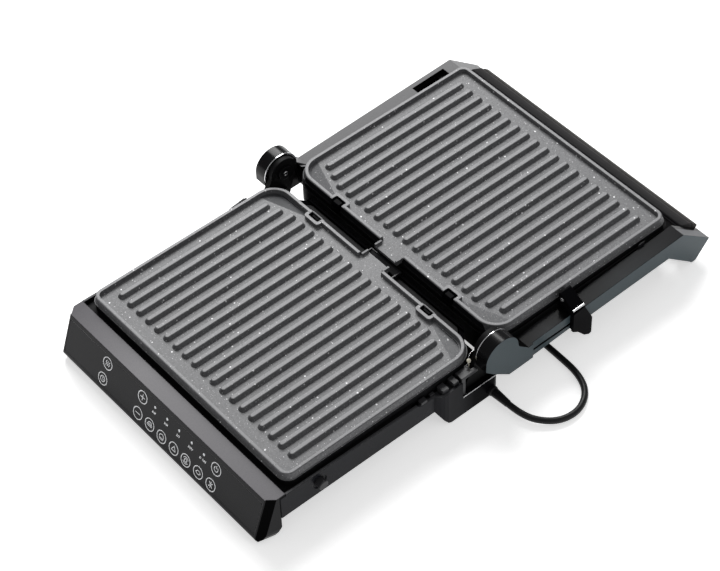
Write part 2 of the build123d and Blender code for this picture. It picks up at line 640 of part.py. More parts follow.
with BuildPart() as handle_end_plugs:
    for sx in (-1, 1):
        a, b = span(sx, 140.0, 149.9)
        prism_x([(252.3, 34.8), (269.9, 20.9), (257.7, 7.6), (252.3, 11.5)], a, b)
        rod_x(259, 20, 3.0, a - 1, b + 1, Mode.SUBTRACT)
save(handle_end_plugs, "handle_end_plugs")

with BuildPart() as handle_screws:
    for sx in (-1, 1):
        a, b = span(sx, 142.0, ARM_IN)
        rod_x(259, 20, 2.8, a, b)
save(handle_screws, "handle_screws")

with BuildPart() as lid_rest_pads:
    for sx in (-1, 1):
        a, b = span(sx, 152.5, 166.0)
        box(a, b, 254.6, 258.7, 0.0, 2.0)
save(lid_rest_pads, "lid_rest_pads")

# ---- height clip on the right arm ----------------------------------------------------------------
with BuildPart() as height_clip:
    prism_y([(149.5, 48.9), (149.5, 66.4), (151.2, 66.4), (168.4, 57.4), (169.4, 55.4), (169.4, 30.0), (166.05, 30.0), (166.05, 48.9)], 88.5, 102.5)
    # tongue in the arm's groove
    box(164.1, 166.3, 90, 101, 34.3, 36.7)
    # thumb wedge, flared outward and down
    prism_x([(88.5, 52), (102.4, 54), (113.5, 31), (113.5, 9.6), (110.5, 8.6), (104, 12.5), (95.5, 23), (88.5, 28)], 167.9, 170.6)
    # seat for the silver pin, and for the screw
    rod_y(169.0, 56.2, 1.15, 88, 103, Mode.SUBTRACT)
    rod_y(154.5, 60.8, 1.3, 88, 94, Mode.SUBTRACT)
save(height_clip, "height_clip")

with BuildPart() as clip_pin:
    rod_y(169.0, 56.2, 1.1, 88.3, 102.7)
save(clip_pin, "clip_pin")

with BuildPart() as clip_screw:
    rod_y(154.5, 60.8, 1.2, 88.4, 93.5)
    rod_y(154.5, 60.8, 2.3, 87.2, 88.5)
    with Locations((154.5, 87.2, 60.8)):
        Box(3.0, 0.9, 0.6, mode=Mode.SUBTRACT)
        Box(0.6, 0.9, 3.0, mode=Mode.SUBTRACT)
save(clip_screw, "clip_screw")

# ---- floating upper housing ----------------------------------------------------------------------
def head_sketch(z, inset):
    with BuildSketch(Plane.XY.offset(z)) as sk:
        y0, y1 = 8.2 + inset, 240.1 - inset
        with Locations((0, (y0 + y1) / 2)):
            Rectangle(297 - 2 * inset, y1 - y0)
        fillet(sk.vertices().group_by(Axis.Y)[0], 29.0 - inset)
        fillet(sk.vertices().group_by(Axis.Y)[-1], 13 - inset)
    return sk.sketch


with BuildPart() as upper_housing:
    extrude(head_sketch(22.0, 0), amount=29.0, dir=(0, 0, 1))
    fillet(upper_housing.edges().filter_by_position(Axis.Z, 21.9, 22.1), 5.0)
    extrude(head_sketch(24.5, 2.3), amount=30, dir=(0, 0, 1), mode=Mode.SUBTRACT)
    # rebate for the foot of the plate
    extrude(head_sketch(48.8, 1.2), amount=5, dir=(0, 0, 1), mode=Mode.SUBTRACT)
    # pivot bosses
    for sx in (-1, 1):
        a, b = span(sx, 139.5, 147.0)
        rod_x(FLOAT_Y, FLOAT_Z, 6.0, a, b)
        a, b = span(sx, 139.0, 150.0)
        rod_x(FLOAT_Y, FLOAT_Z, FLOAT_R + PIN_CLEAR, a, b, Mode.SUBTRACT)
    # slot for the release tab
    box(145, 150, 191.5, 200.5, 42.6, 45.7, Mode.SUBTRACT)
    # screw bosses to the frame
    for x in (-136.5, 136.5):
        for y in (40, 220):
            rod_z(x, y, 4.5, 24.0, 45.9)
            rod_z(x, y, 1.6, 30, 46, Mode.SUBTRACT)
save(upper_housing, "upper_housing")

with BuildPart() as upper_frame:
    extrude(head_sketch(45.9, 2.6), amount=2.8, dir=(0, 0, 1))
    with BuildSketch(Plane.XY.offset(45)):
        with Locations((0, 126)):
            RectangleRounded(256, 196, 12)
    extrude(amount=5, mode=Mode.SUBTRACT)
    for x in (-136.5, 136.5):
        for y in (40, 220):
            rod_z(x, y, 1.7, 45, 50, Mode.SUBTRACT)
save(upper_frame, "upper_frame")

with BuildPart() as upper_frame_screws:
    for x in (-136.5, 136.5):
        for y in (40, 220):
            rod_z(x, y, 1.5, 34, 48.8)
            rod_z(x, y, 3.0, 48.7, 50.2)
save(upper_frame_screws, "upper_frame_screws")

with BuildPart() as upper_hooks:
    for sx in (-1, 1):
        x = sx * NOTCH_X
        box(x - 6.2, x + 6.2, 10.7, 17.0, 48.7, 54.0)
        box(x - 6.2, x + 6.2, 9.9, 17.0, 48.9, 54.0)
        box(x - 4.8, x + 4.8, 10.4, 16.6, 53.0, 61.2)
        with BuildSketch(Plane.XY.offset(61.2)):
            with Locations((x, 13.5)):
                Rectangle(9.6, 6.2)
        extrude(amount=1.2, taper=30)
save(upper_hooks, "upper_hooks")

upper_reflector = make_reflector(1, 2.0, "upper_reflector")
upper_heater = make_heater(1, 1.0, "upper_heater")

with BuildPart() as upper_heater_clips:
    for x, y in ((-98, 126), (98, 126), (0, 150)):
        if x:
            box(x - 5, x + 5, y - 6, y + 6, 33.0, 34.0)
            box(x - 0.8, x + 0.8, y - 6, y + 6, 33.9, 48.4)
        else:
            box(x - 6, x + 6, y - 5, y + 5, 33.0, 34.0)
            box(x - 6, x + 6, y - 0.8, y + 0.8, 33.9, 48.4)
save(upper_heater_clips, "upper_heater_clips")

with BuildPart() as upper_sensor:
    rod_z(0, 126, 6.5, 24.5, 48)
    rod_z(0, 126, 5.0, 48, 55.1)
save(upper_sensor, "upper_sensor")

with BuildPart() as upper_release_tab:
    box(148.85, 149.95, 194, 202, 42.9, 55.4)
    box(144.4, 149.0, 196.0, 200.2, 42.9, 45.4)
    box(141.0, 144.6, 195.0, 200.2, 42.0, 45.6)
save(upper_release_tab, "upper_release_tab")

upper_release_spring = make_spring(Plane(origin=(142.8, 200.6, 43.8), z_dir=(0, 1, 0)), 1.7, 0.5, 5, 8.2)
save(upper_release_spring, "upper_release_spring")

with BuildPart() as upper_release_stop:
    box(140.5, 146.2, 209.0, 212.0, 41.0, 45.9)
save(upper_release_stop, "upper_release_stop")

# ---- mains cord: strain relief, cord, put-away coil, plug ----------------------------------------
with BuildPart() as strain_relief:
    with BuildSketch(Plane(origin=(0, CORD_Y, CORD_Z), x_dir=(1, 0, 0), z_dir=(0, -1, 0))):
        with BuildLine():
            Polyline((151.0, 0), (151.0, 3.9), (156.6, 3.9), (156.6, 4.8), (159.05, 4.8), (159.05, 5.4), (161.6, 5.4), (163, 4.7),
                     (181, CORD_D / 2 + 0.35), (181, 0), close=True)
        make_face()
    revolve(axis=Axis((0, CORD_Y, CORD_Z), (1, 0, 0)))
save(strain_relief, "strain_relief")

CORD_R = CORD_D / 2
ZC = CORD_R + 0.05       # cord centre when it lies on the table
COIL_X, COIL_Y = 46.0, 119.0     # centre of the put-away coil, under the open lid
COIL_RO, COIL_RI = 41.0, 31.1    # radii of its outer and inner turns
COIL_TURNS = 3.0
ENTRY = (71.0, COIL_Y - COIL_RO, ZC)
LEAVE = (20.0, COIL_Y - COIL_RO, ZC + CORD_D)
ROUTE = [(181.0, CORD_Y, CORD_Z), (193.0, -4.0, 7.6), (211.0, 2.0, 6.0), (226.3, 19.4, 4.2), (228.7, 42.6, ZC), (217.0, 62.8, ZC),
         (195.6, 72.2, ZC), (169.0, 73.6, ZC), (144.0, 74.0, ZC), (119.0, 75.4, ZC), (95.0, 77.4, ZC), ENTRY]


def corner_radii(pts):
    """Each bend as large as its two runs allow."""
    v = [Vector(*p) for p in pts]
    out = []
    for a, b, c in zip(v, v[1:], v[2:]):
        turn = (b - a).get_angle(c - b)
        out.append(0.45 * min((b - a).length, (c - b).length) / math.tan(math.radians(turn / 2)))
    return out


radii = corner_radii(ROUTE)
print("cord radii, mm:", [round(r, 1) for r in radii])
with BuildPart() as power_cord:
    with BuildLine() as cord_path:
        cord_line = FilletPolyline(*ROUTE, radius=radii)
    with BuildSketch(Plane(origin=ROUTE[0], z_dir=(1, 0, 0))) as cord_section:
        Circle(CORD_R)
    sweep(cord_section.sketch, path=cord_line)
save(power_cord, "power_cord")
tube_len = cord_line.length
turns_len = COIL_TURNS * math.pi * (COIL_RO + COIL_RI)
print("cord tube", round(tube_len, 1), "volume ratio", round(power_cord.part.volume / (math.pi * CORD_R ** 2 * tube_len), 4))
print("cord length in all, mm:", round(tube_len + (ENTRY[0] - COIL_X) + turns_len + (COIL_X - LEAVE[0]), 1))

with BuildPart() as cord_coil:
    with BuildSketch(Plane.XY) as ring_sk:
        with Locations((COIL_X, COIL_Y)):
            Circle(COIL_RO + CORD_R + 0.15)
            Circle(COIL_RI - CORD_R, mode=Mode.SUBTRACT)
    extrude(ring_sk.sketch, amount=2 * CORD_D + 0.2)
    rod_x(ENTRY[1], ENTRY[2], CORD_R, COIL_X, ENTRY[0])
    rod_x(LEAVE[1], LEAVE[2], CORD_R, LEAVE[0], COIL_X)
save(cord_coil, "cord_coil")

# flat moulded three-pin plug lying beside the coil
PX, PY, PZ = LEAVE
with BuildPart() as mains_plug:
    with BuildSketch(Plane(origin=(0, PY, PZ), x_dir=(1, 0, 0), z_dir=(0, -1, 0))) as boot:
        with BuildLine():
            Polyline((PX, 0), (PX, 4.1), (PX - 11.5, 5.6), (PX - 11.5, 0), close=True)
        make_face()
    revolve(boot.sketch, axis=Axis((0, PY, PZ), (1, 0, 0)))
    prism_z([(PX - 11, PY - 8), (PX - 16, PY - 14), (PX - 40, PY - 15), (PX - 46, PY - 13), (PX - 46, PY + 13), (PX - 40, PY + 15),
             (PX - 16, PY + 14), (PX - 11, PY + 8)], 0.4, 19.6)
    # finger waists
    prism_z([(PX - 20, PY - 20), (PX - 24, PY - 12.6), (PX - 32, PY - 12.6), (PX - 37, PY - 20)], -1, 21, Mode.SUBTRACT)
    prism_z([(PX - 20, PY + 20), (PX - 24, PY + 12.6), (PX - 32, PY + 12.6), (PX - 37, PY + 20)], -1, 21, Mode.SUBTRACT)
save(mains_plug, "mains_plug")

with BuildPart() as plug_pins:
    for dy in (-6.6, 6.6):
        box(PX - 46 - 18, PX - 46, PY + dy - 0.8, PY + dy + 0.8, 11.0, 17.3)
    box(PX - 46 - 20, PX - 46, PY - 3.2, PY + 3.2, 3.4, 5.0)
save(plug_pins, "plug_pins")
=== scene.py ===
import bpy
import bmesh
import math
from mathutils import Matrix, Vector


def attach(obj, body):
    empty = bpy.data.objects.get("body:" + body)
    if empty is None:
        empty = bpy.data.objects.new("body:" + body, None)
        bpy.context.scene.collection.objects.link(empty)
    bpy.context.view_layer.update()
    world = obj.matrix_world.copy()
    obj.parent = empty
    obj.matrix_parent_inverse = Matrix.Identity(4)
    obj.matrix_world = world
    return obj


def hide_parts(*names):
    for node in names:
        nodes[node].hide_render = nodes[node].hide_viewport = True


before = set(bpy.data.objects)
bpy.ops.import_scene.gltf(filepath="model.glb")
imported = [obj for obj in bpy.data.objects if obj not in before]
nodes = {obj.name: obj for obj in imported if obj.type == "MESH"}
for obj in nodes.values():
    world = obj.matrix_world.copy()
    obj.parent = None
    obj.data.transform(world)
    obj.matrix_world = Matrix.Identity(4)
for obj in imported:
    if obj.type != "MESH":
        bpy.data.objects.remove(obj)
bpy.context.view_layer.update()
scene = bpy.context.scene

# ---- camera --------------------------------------------------------------------------------------
AZ, EL, ROLL = math.radians(51.32), math.radians(48.01), math.radians(-2.41)
FOCAL_PX = 2278.0
EYE = Vector((1.1325, -0.9349, 1.6509))


def camera():
    fwd = Vector((-math.sin(AZ) * math.cos(EL), math.cos(AZ) * math.cos(EL), -math.sin(EL)))
    right = Vector((math.cos(AZ), math.sin(AZ), 0.0))
    up = right.cross(fwd)
    r2 = right * math.cos(ROLL) + up * math.sin(ROLL)
    u2 = up * math.cos(ROLL) - right * math.sin(ROLL)
    data = bpy.data.cameras.new("camera")
    data.sensor_fit = "HORIZONTAL"
    data.sensor_width = 36.0
    data.lens = 36.0 * FOCAL_PX / 720.0
    data.clip_start, data.clip_end = 0.05, 50.0
    ob = bpy.data.objects.new("camera", data)
    scene.collection.objects.link(ob)
    m = Matrix((
        (r2.x, u2.x, -fwd.x, EYE.x),
        (r2.y, u2.y, -fwd.y, EYE.y),
        (r2.z, u2.z, -fwd.z, EYE.z),
        (0, 0, 0, 1)))
    ob.matrix_world = m
    scene.camera = ob
    return ob


cam = camera()


# ---- material helpers ----------------------------------------------------------------------------
class Mat:
    """A Principled material that is fed by procedural nodes in object coordinates (metres)."""

    def __init__(self, name, rough=0.5, metallic=0.0, specular=0.5, coat=0.0, coat_rough=0.1, sheen=0.0):
        self.m = bpy.data.materials.new(name)
        self.m.use_nodes = True
        self.t = self.m.node_tree
        self.t.nodes.clear()
        self.out = self.t.nodes.new("ShaderNodeOutputMaterial")
        self.b = self.t.nodes.new("ShaderNodeBsdfPrincipled")
        self.t.links.new(self.b.outputs[0], self.out.inputs[0])
        self.b.inputs["Roughness"].default_value = rough
        self.b.inputs["Metallic"].default_value = metallic
        self.b.inputs["Specular IOR Level"].default_value = specular
        self.b.inputs["Coat Weight"].default_value = coat
        self.b.inputs["Coat Roughness"].default_value = coat_rough
        self.b.inputs["Sheen Weight"].default_value = sheen
        tc = self.t.nodes.new("ShaderNodeTexCoord")
        self.co = tc.outputs["Object"]
        self.nrm = tc.outputs["Normal"]
        self.split_cache = {}

    def node(self, kind, **inputs):
        n = self.t.nodes.new(kind)
        for k, v in inputs.items():
            key = k.replace("_", " ")
            if key in n.inputs:
                n.inputs[key].default_value = v
        return n

    def link(self, a, b):
        self.t.links.new(a, b)

    def axis(self, which, vec="co"):
        """One coordinate of the position (co) or of the object-space normal (nrm)."""
        if vec not in self.split_cache:
            n = self.t.nodes.new("ShaderNodeSeparateXYZ")
            self.link(self.co if vec == "co" else self.nrm, n.inputs[0])
            self.split_cache[vec] = n
        return self.split_cache[vec].outputs["XYZ".index(which)]

    def step(self, v, edge, soft=0.0004):
        """0 below the edge, 1 above it."""
        return self.range(v, edge - soft, edge + soft, 0.0, 1.0)

    def both(self, a, b):
        return self.maths("MULTIPLY", a, b)

    def flip(self, a):
        return self.maths("SUBTRACT", 1.0, a)

    def scaled(self, sx, sy, sz, rot=(0, 0, 0)):
        n = self.t.nodes.new("ShaderNodeMapping")
        n.inputs["Scale"].default_value = (sx, sy, sz)
        n.inputs["Rotation"].default_value = rot
        self.link(self.co, n.inputs["Vector"])
        return n.outputs[0]

    def noise(self, scale, detail=4.0, rough=0.5, vec=None, distortion=0.0):
        n = self.node("ShaderNodeTexNoise", Scale=scale, Detail=detail, Roughness=rough, Distortion=distortion)
        self.link(vec if vec is not None else self.co, n.inputs["Vector"])
        return n.outputs["Fac"] if "Fac" in n.outputs else n.outputs[0]

    def voronoi(self, scale, feature="F1", vec=None, randomness=1.0):
        n = self.t.nodes.new("ShaderNodeTexVoronoi")
        n.feature = feature
        n.inputs["Scale"].default_value = scale
        n.inputs["Randomness"].default_value = randomness
        self.link(vec if vec is not None else self.co, n.inputs["Vector"])
        return n

    def ramp(self, fac, stops, mode="LINEAR"):
        n = self.t.nodes.new("ShaderNodeValToRGB")
        n.color_ramp.interpolation = mode
        e = n.color_ramp.elements
        while len(e) > 1:
            e.remove(e[-1])
        e[0].position, e[0].color = stops[0][0], stops[0][1]
        for p, c in stops[1:]:
            el = e.new(p)
            el.color = c
        self.link(fac, n.inputs["Fac"])
        return n.outputs["Color"]

    def mix(self, fac, a, b, blend="MIX"):
        n = self.t.nodes.new("ShaderNodeMix")
        n.data_type = "RGBA"
        n.blend_type = blend
        for sock, v in ((n.inputs[0], fac), (n.inputs[6], a), (n.inputs[7], b)):
            if hasattr(v, "is_output"):
                self.link(v, sock)
            else:
                sock.default_value = v
        return n.outputs[2]

    def maths(self, op, a, b=None, clamp=False):
        n = self.t.nodes.new("ShaderNodeMath")
        n.operation = op
        n.use_clamp = clamp
        for sock, v in zip(n.inputs, (a, b)):
            if v is None:
                continue
            if hasattr(v, "is_output"):
                self.link(v, sock)
            else:
                sock.default_value = v
        return n.outputs[0]

    def range(self, v, a, b, c, d):
        n = self.t.nodes.new("ShaderNodeMapRange")
        for i, x in ((1, a), (2, b), (3, c), (4, d)):
            n.inputs[i].default_value = x
        self.link(v, n.inputs[0])
        return n.outputs[0]

    def base(self, col):
        if hasattr(col, "is_output"):
            self.link(col, self.b.inputs["Base Color"])
        else:
            self.b.inputs["Base Color"].default_value = col
        return self

    def rough(self, v):
        self.link(v, self.b.inputs["Roughness"])
        return self

    def bump(self, h, strength=0.2, distance=0.0002, edge=0.0):
        n = self.t.nodes.new("ShaderNodeBump")
        n.inputs["Strength"].default_value = strength
        n.inputs["Distance"].default_value = distance
        self.link(h, n.inputs["Height"])
        if edge:
            e = self.t.nodes.new("ShaderNodeBevel")
            e.samples = 6
            e.inputs["Radius"].default_value = edge
            self.link(e.outputs[0], n.inputs["Normal"])
        self.link(n.outputs[0], self.b.inputs["Normal"])
        return self


def grey(v, a=1.0):
    return (v, v, v, a)


def blend(m, a, b, fac):
    """Mix two roughness values."""
    n = m.t.nodes.new("ShaderNodeMix")
    n.data_type = "FLOAT"
    m.link(fac, n.inputs[0])
    for sock, v in ((n.inputs[2], a), (n.inputs[3], b)):
        if hasattr(v, "is_output"):
            m.link(v, sock)
        else:
            sock.default_value = v
    return n.outputs[0]


def plate_material(name, valley, side):
    """Cast plate with a granite-look coating; side is -1 in front of the hinge and +1 behind it."""
    m = Mat(name, rough=0.42, specular=0.34)
    fine = m.noise(1300, 3, 0.6)
    mid = m.noise(430, 4, 0.55)
    wide = m.noise(22, 3, 0.5)
    x, y, z = m.axis("X"), m.axis("Y"), m.axis("Z")
    nx, ny, nz = m.axis("X", "nrm"), m.axis("Y", "nrm"), m.axis("Z", "nrm")
    ax = m.maths("ABSOLUTE", x)
    ay = m.maths("ABSOLUTE", y)
    a = m.ramp(fine, [(0.34, (0.090, 0.091, 0.095, 1)), (0.66, (0.210, 0.211, 0.217, 1))])
    b = m.ramp(mid, [(0.36, (0.102, 0.103, 0.107, 1)), (0.68, (0.202, 0.203, 0.208, 1))])
    col = m.mix(0.5, a, b)
    col = m.mix(m.range(wide, 0.35, 0.65, 0.0, 0.18), col, (0.135, 0.136, 0.142, 1))
    # painted highlight: the raised crests of ribs and rim are painted lighter where they do not face +x
    crest_highlight = m.both(m.step(z, valley + RIB_TOP - 0.0007, 0.0003), m.flip(m.step(nx, 0.18, 0.10)))
    col = m.mix(m.maths("MULTIPLY", crest_highlight, 0.40), col, (0.37, 0.37, 0.38, 1))
    # pale flecks of three sizes, picked at random cell by cell, and a few dark ones
    for scale, share, r0, r1, tone, power in ((150, 0.50, 0.06, 0.15, 0.95, 1.0), (300, 0.50, 0.07, 0.17, 0.75, 0.85), (620, 0.62, 0.10, 0.26, 0.50, 0.60)):
        v = m.voronoi(scale)
        rgb = m.t.nodes.new("ShaderNodeSeparateColor")
        m.link(v.outputs["Color"], rgb.inputs[0])
        pick = m.maths("GREATER_THAN", rgb.outputs[0], 1 - share)
        size = m.range(rgb.outputs[1], 0.0, 1.0, r0, r1)
        spot = m.maths("LESS_THAN", v.outputs["Distance"], size)
        col = m.mix(m.maths("MULTIPLY", m.both(pick, spot), power), col, (tone, tone, tone * 1.01, 1))
    v = m.voronoi(270)
    rgb = m.t.nodes.new("ShaderNodeSeparateColor")
    m.link(v.outputs["Color"], rgb.inputs[0])
    dark = m.both(m.maths("GREATER_THAN", rgb.outputs[2], 0.6), m.maths("LESS_THAN", v.outputs["Distance"], 0.16))
    col = m.mix(m.maths("MULTIPLY", dark, 0.55), col, (0.035, 0.035, 0.038, 1))
    # painted shade on the falling floor of the two drainage corners, stronger towards -x, with their reflection turned
    # down too
    d = m.maths("SUBTRACT", m.maths("MULTIPLY", m.maths("SUBTRACT", ax, 0.083), 0.324), m.maths("MULTIPLY", m.maths("SUBTRACT", ay, 0.017), 0.946))
    corner_shade = m.both(m.step(d, 0.0002, 0.0002), m.flip(m.step(z, valley + 0.0002, 0.0002)))
    col = m.mix(m.maths("MULTIPLY", corner_shade, m.range(x, -0.05, 0.05, CORNER_SHADE_MIX[side], CORNER_SHADE_MIX[side] * 0.45)), col, (0.050, 0.051, 0.055, 1))
    # painted shade: flanks that face away from the window side, and faces turned to the front, are painted darker
    flank = m.both(m.step(nx, 0.30, 0.14), m.flip(m.step(nz, 0.93, 0.03)))
    front = m.both(m.flip(m.step(ny, -0.45, 0.15)), m.flip(m.step(nz, 0.85, 0.05)))
    shade = m.maths("MAXIMUM", flank, front)
    col = m.mix(m.maths("MULTIPLY", shade, 0.40), col, m.ramp(mid, [(0.3, (0.030, 0.031, 0.034, 1)), (0.7, (0.066, 0.067, 0.072, 1))]))
    # painted shadow: under the lip and on the wall by the hinge the casting is painted black without speckle, and so
    # are the notch pockets, with their reflection turned down
    black = m.ramp(mid, [(0.3, (0.006, 0.006, 0.007, 1)), (0.7, (0.011, 0.011, 0.012, 1))])
    skirt_shadow = m.flip(m.step(z, valley + 0.0045 - 0.0070 - 0.0003, 0.00015))
    hinge = m.both(m.both(m.flip(m.step(z, valley + 0.0045 - 0.0014, 0.0002)), m.flip(m.step(ay, HINGE_EDGE, 0.0002))), m.step(ax, 0.0163, 0.0001))
    by_notch = m.maths("ABSOLUTE", m.maths("SUBTRACT", ax, 0.081))
    pocket_shadow = m.both(m.both(m.flip(m.step(by_notch, 0.0072, 0.0001)), m.flip(m.step(ay, 0.0186, 0.0001))), m.flip(m.step(z, valley + 0.0045 - 0.0008, 0.0002)))
    col = m.mix(m.maths("MAXIMUM", skirt_shadow, m.maths("MAXIMUM", hinge, pocket_shadow)), col, black)
    m.base(col)
    shadow_dull = m.maths("MAXIMUM", m.maths("MAXIMUM", skirt_shadow, hinge), pocket_shadow)
    m.link(blend(m, blend(m, 0.27 if side < 0 else 0.215, m.range(x, -0.05, 0.05, 0.08, 0.18), corner_shade), 0.03, shadow_dull), m.b.inputs["Specular IOR Level"])
    m.rough(m.range(fine, 0.3, 0.7, 0.36, 0.50))
    m.bump(m.mix(0.5, fine, mid), 0.30, 0.00022, edge=0.0005)
    return m.m


RIB_TOP = 0.0040
# share of painted shade in the drainage corners, for each plate
CORNER_SHADE_MIX = {-1: 0.80, 1: 0.50}
HINGE_EDGE = 0.0126


def moulded(name, col, rough=0.42, grain=900, depth=0.18, edge=0.0007, vary=0.25, specular=0.3, coat=0.0, coat_rough=0.15, paint=None):
    """Moulded plastic: slight cloudiness, a fine spark-eroded grain and softened edges."""
    m = Mat(name, rough=rough, specular=specular, coat=coat, coat_rough=coat_rough)
    cloud = m.noise(18, 3, 0.5)
    fine = m.noise(grain, 3, 0.6)
    lo = tuple(c * (1 - vary) for c in col[:3]) + (1,)
    hi = tuple(c * (1 + vary) for c in col[:3]) + (1,)
    out = m.mix(m.range(fine, 0.35, 0.65, 0.2, 0.8), m.ramp(cloud, [(0.3, lo), (0.7, hi)]), col)
    r = m.range(m.noise(40, 4, 0.6), 0.3, 0.7, rough - 0.05, rough + 0.06)
    if paint:
        out, r, spec = paint(m, out, r, fine)
        m.link(spec, m.b.inputs["Specular IOR Level"])
    m.base(out)
    m.rough(r)
    m.bump(fine, depth, 0.0001, edge=edge)
    return m.m


def speckled(m, fine, lo, hi):
    return m.ramp(fine, [(0.3, lo), (0.7, hi)])


def metal(name, col, rough=0.3, stretch=(2000, 40, 2000), depth=0.15, edge=0.0003):
    m = Mat(name, rough=rough, metallic=1.0)
    lines = m.noise(1.0, 3, 0.55, vec=m.scaled(*stretch))
    m.base(m.mix(m.range(lines, 0.3, 0.7, 0.0, 1.0), tuple(c * 0.82 for c in col[:3]) + (1,), col))
    m.rough(m.range(lines, 0.3, 0.7, rough * 0.8, rough * 1.25))
    m.bump(lines, depth, 0.00004, edge=edge)
    return m.m


def console_paint(m, out, r, fine):
    """Gloss black front and ends, a top painted grey as a painted sheen, and a jet black bevel between front and end.
    """
    nx = m.maths("ABSOLUTE", m.axis("X", "nrm"))
    top = m.step(m.axis("Z", "nrm"), 0.82, 0.05)
    end = m.step(nx, 0.93, 0.03)
    facet = m.both(m.both(m.step(nx, 0.30, 0.08), m.flip(m.step(nx, 0.93, 0.03))), m.flip(top))
    # painted sheen: the up-facing top is painted grey
    out = m.mix(top, out, speckled(m, fine, (0.088, 0.083, 0.092, 1), (0.105, 0.100, 0.110, 1)))
    out = m.mix(facet, out, speckled(m, fine, (0.0008, 0.0008, 0.001, 1), (0.0014, 0.0014, 0.0016, 1)))
    spec = blend(m, blend(m, 0.11, m.ramp(m.range(m.axis("X"), -0.150, 0.150, 0.0, 1.0), [(0.0, (0.09, 0.09, 0.09, 1)), (0.35, (0.32, 0.32, 0.32, 1)), (1.0, (0.24, 0.24, 0.24, 1))]), top), 0.01, facet)
    return out, blend(m, r, 0.42, top), blend(m, spec, 0.085, end)


def base_paint(m, out, r, fine):
    """Painted highlight on the top edges of the base's side walls; the towers are darker, and the rear wall is painted
    black as shadow, with no reflection.
    """
    top = m.both(m.step(m.axis("Z", "nrm"), 0.9, 0.05), m.step(m.axis("Z"), 0.040, 0.001))
    top = m.both(top, m.both(m.step(m.maths("ABSOLUTE", m.axis("X")), 0.1495, 0.0003), m.flip(m.step(m.axis("Y"), -0.050, 0.002))))
    tower = m.step(m.axis("Y"), -0.060, 0.012)
    side = m.step(m.maths("ABSOLUTE", m.axis("X")), 0.1495, 0.0003)
    out = m.mix(m.maths("MULTIPLY", tower, 0.45), out, speckled(m, fine, (0.0035, 0.0035, 0.0045, 1), (0.005, 0.005, 0.006, 1)))
    out = m.mix(m.range(m.axis("Y"), -0.042, -0.020, 0.0, 0.75), out, speckled(m, fine, (0.001, 0.001, 0.0012, 1), (0.0018, 0.0018, 0.002, 1)))
    rear = m.both(m.step(m.axis("Y"), -0.040, 0.002), m.flip(side))
    # painted shadow: the rear wall between the plates is painted black
    out = m.mix(rear, out, speckled(m, fine, (0.0025, 0.0025, 0.003, 1), (0.004, 0.004, 0.0045, 1)))
    # painted highlight on the top edges of the side walls
    out = m.mix(top, out, speckled(m, fine, (0.050, 0.050, 0.054, 1), (0.070, 0.070, 0.074, 1)))
    return out, r, blend(m, blend(m, blend(m, 0.085, 0.060, tower), 0.012, m.step(m.axis("Y"), -0.036, 0.010)), 0.0, rear)


def arm_paint(side):
    """Slate outer face and gloss black hub; the top is painted light: a painted grey sheen on the left top and on the
    right end facet, and a dark painted reflection along the right beam.
    """
    def paint(m, out, r, fine):
        nx, nz = m.axis("X", "nrm"), m.axis("Z", "nrm")
        x, y = m.axis("X"), m.axis("Y")
        if side < 0:
            nx, x = m.maths("MULTIPLY", nx, -1.0), m.maths("MULTIPLY", x, -1.0)
        outer = m.both(m.step(nx, 0.6, 0.1), m.step(x, 0.1650, 0.0002))
        up = m.step(nz, 0.35, 0.08)
        end = m.step(y, 0.2368, 0.0003)
        hub = m.flip(m.step(y, 0.0238, 0.0002))
        wide = m.step(x, 0.1560, 0.0002)
        slate = speckled(m, fine, (0.038, 0.054, 0.062, 1), (0.046, 0.064, 0.072, 1))
        sheen_grey = speckled(m, fine, (0.165, 0.165, 0.168, 1), (0.195, 0.195, 0.198, 1))
        black = speckled(m, fine, (0.003, 0.003, 0.0035, 1), (0.005, 0.005, 0.0055, 1))
        out = m.mix(outer, black, slate)
        rr = blend(m, 0.20, 0.34, outer)
        lit = m.both(up, end)
        if side > 0:
            # painted reflection: the beam's top is painted dark, with two faint lighter streaks along its length
            beam_reflection = m.ramp(m.range(y, 0.030, 0.236, 0.0, 1.0), [(0.0, (0.003, 0.003, 0.003, 1)), (0.15, (0.018, 0.019, 0.021, 1)), (0.26, (0.003, 0.003, 0.003, 1)),
                                                               (0.62, (0.016, 0.018, 0.020, 1)), (1.0, (0.005, 0.005, 0.006, 1))])
            top = m.both(m.both(up, m.flip(end)), m.flip(hub))
            out = m.mix(m.both(top, m.flip(outer)), out, beam_reflection)
            lit = m.both(lit, wide)
            sheen_grey = speckled(m, fine, (0.112, 0.114, 0.118, 1), (0.138, 0.140, 0.144, 1))
        else:
            lit = m.both(up, m.flip(hub))
        # painted sheen: lit up-facing faces are painted grey
        out = m.mix(m.both(lit, m.flip(outer)), out, sheen_grey)
        rr = blend(m, rr, 0.42, m.both(lit, m.flip(outer)))
        if side < 0:
            # painted shade: the slot is painted black inside, below its mouth, in place of the painted grey sheen
            inside = m.both(m.both(m.step(x, 0.1521, 0.0001), m.flip(m.step(x, 0.1623, 0.0001))), m.both(m.step(y, 0.1809, 0.0001), m.flip(m.step(y, 0.2231, 0.0001))))
            deep = m.both(inside, m.flip(m.step(m.axis("Z"), 0.0495, 0.0002)))
            out = m.mix(deep, out, speckled(m, fine, (0.003, 0.003, 0.003, 1), (0.005, 0.005, 0.005, 1)))
        upper = m.both(up, m.both(m.flip(hub), m.flip(outer)))
        spec = blend(m, 0.13, 0.03, upper)
        return out, rr, spec
    return paint


